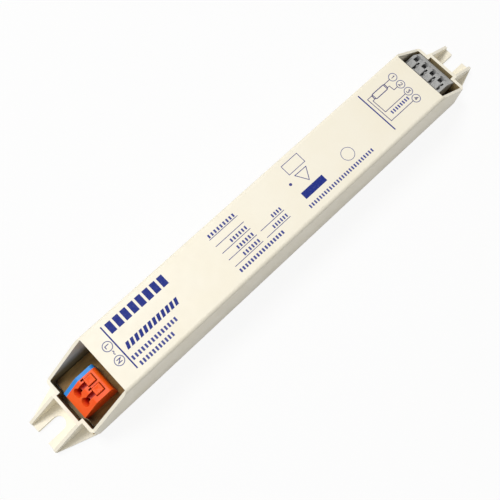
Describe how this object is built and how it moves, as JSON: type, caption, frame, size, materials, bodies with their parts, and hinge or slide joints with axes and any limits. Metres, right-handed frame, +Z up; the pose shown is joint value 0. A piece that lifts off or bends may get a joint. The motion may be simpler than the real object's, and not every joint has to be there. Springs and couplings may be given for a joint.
{
  "type": "fluorescent lamp ballast",
  "caption": "Slim electronic ballast in an ivory housing: sloped open ends over push-in wire terminals with release buttons, and forked screw lugs at both ends.",
  "frame": {"origin": "middle of the underside, on the surface that the ballast is screwed to", "axes": "+X along the length towards the lamp terminal, +Z up out of the printed top"},
  "size_m": [0.185, 0.021, 0.0215],
  "materials": {
    "housing_plastic": "satin",
    "board_laminate": "satin",
    "insulating_paper": "matte",
    "orange_plastic": "satin",
    "blue_plastic": "satin",
    "grey_plastic": "satin",
    "spring_steel": "brushed",
    "contact_metal": "tinned",
    "black_plastic": "satin",
    "disc_lacquer_blue": "satin",
    "disc_lacquer_black": "satin",
    "former_plastic": "satin",
    "copper_wire": "lacquered",
    "ferrite": "matte",
    "film_capacitor_yellow": "satin",
    "film_capacitor_red": "gloss",
    "can_aluminium": "satin",
    "sleeve_plastic": "gloss",
    "seal_rubber": "matte",
    "spreader_aluminium": "satin"
  },
  "bodies": {
    "ballast": {"base_plate": "housing_plastic", "bridge_rectifier": "black_plastic", "circuit_board": "board_laminate", "coupling_capacitor": "film_capacitor_red", "driver_chip": "black_plastic", "fuse": "black_plastic", "heat_spreader": "spreader_aluminium", "housing": "housing_plastic", "insulating_sheet": "insulating_paper", "lamp_choke_core_half_1": "ferrite", "lamp_choke_core_half_2": "ferrite", "lamp_choke_former": "former_plastic", "lamp_choke_winding": "copper_wire", "lamp_clamp_spring_1": "spring_steel", "lamp_clamp_spring_2": "spring_steel", "lamp_clamp_spring_3": "spring_steel", "lamp_clamp_spring_4": "spring_steel", "lamp_contact_1": "contact_metal", "lamp_contact_2": "contact_metal", "lamp_contact_3": "contact_metal", "lamp_contact_4": "contact_metal", "lamp_terminal_body": "grey_plastic", "line_choke_core_half_1": "ferrite", "line_choke_core_half_2": "ferrite", "line_choke_former": "former_plastic", "line_choke_winding_1": "copper_wire", "line_choke_winding_2": "copper_wire", "mains_clamp_spring_1": "spring_steel", "mains_clamp_spring_2": "spring_steel", "mains_contact_1": "contact_metal", "mains_contact_2": "contact_metal", "mains_terminal_body": "orange_plastic", "mains_terminal_end_plate": "blue_plastic", "preheat_thermistor": "disc_lacquer_black", "resonant_capacitor": "film_capacitor_red", "smoothing_capacitor_can": "can_aluminium", "smoothing_capacitor_seal": "seal_rubber", "smoothing_capacitor_sleeve": "sleeve_plastic", "suppression_capacitor": "film_capacitor_yellow", "transistor_1": "black_plastic", "transistor_2": "black_plastic", "transistor_clip": "spring_steel", "varistor": "disc_lacquer_blue"},
    "lamp_release_button_1_body": {"lamp_release_button_1": "grey_plastic"},
    "lamp_release_button_2_body": {"lamp_release_button_2": "grey_plastic"},
    "lamp_release_button_3_body": {"lamp_release_button_3": "grey_plastic"},
    "lamp_release_button_4_body": {"lamp_release_button_4": "grey_plastic"},
    "mains_release_button_1_body": {"mains_release_button_1": "orange_plastic"},
    "mains_release_button_2_body": {"mains_release_button_2": "orange_plastic"}
  },
  "joints": [
    {"name": "lamp_release_press_1", "type": "slide", "parent": "ballast", "child": "lamp_release_button_1_body", "axis": [0, 0, -1], "range_m": [0, 0.0012], "stiffness_N_per_m": 2000, "springref_m": -0.0003, "deforming": ["lamp_clamp_spring_1"]},
    {"name": "lamp_release_press_2", "type": "slide", "parent": "ballast", "child": "lamp_release_button_2_body", "axis": [0, 0, -1], "range_m": [0, 0.0012], "stiffness_N_per_m": 2000, "springref_m": -0.0003, "deforming": ["lamp_clamp_spring_2"]},
    {"name": "lamp_release_press_3", "type": "slide", "parent": "ballast", "child": "lamp_release_button_3_body", "axis": [0, 0, -1], "range_m": [0, 0.0012], "stiffness_N_per_m": 2000, "springref_m": -0.0003, "deforming": ["lamp_clamp_spring_3"]},
    {"name": "lamp_release_press_4", "type": "slide", "parent": "ballast", "child": "lamp_release_button_4_body", "axis": [0, 0, -1], "range_m": [0, 0.0012], "stiffness_N_per_m": 2000, "springref_m": -0.0003, "deforming": ["lamp_clamp_spring_4"]},
    {"name": "mains_release_press_1", "type": "slide", "parent": "ballast", "child": "mains_release_button_1_body", "axis": [0, 0, -1], "range_m": [0, 0.0012], "stiffness_N_per_m": 2000, "springref_m": -0.0003, "deforming": ["mains_clamp_spring_1"]},
    {"name": "mains_release_press_2", "type": "slide", "parent": "ballast", "child": "mains_release_button_2_body", "axis": [0, 0, -1], "range_m": [0, 0.0012], "stiffness_N_per_m": 2000, "springref_m": -0.0003, "deforming": ["mains_clamp_spring_2"]}
  ]
}
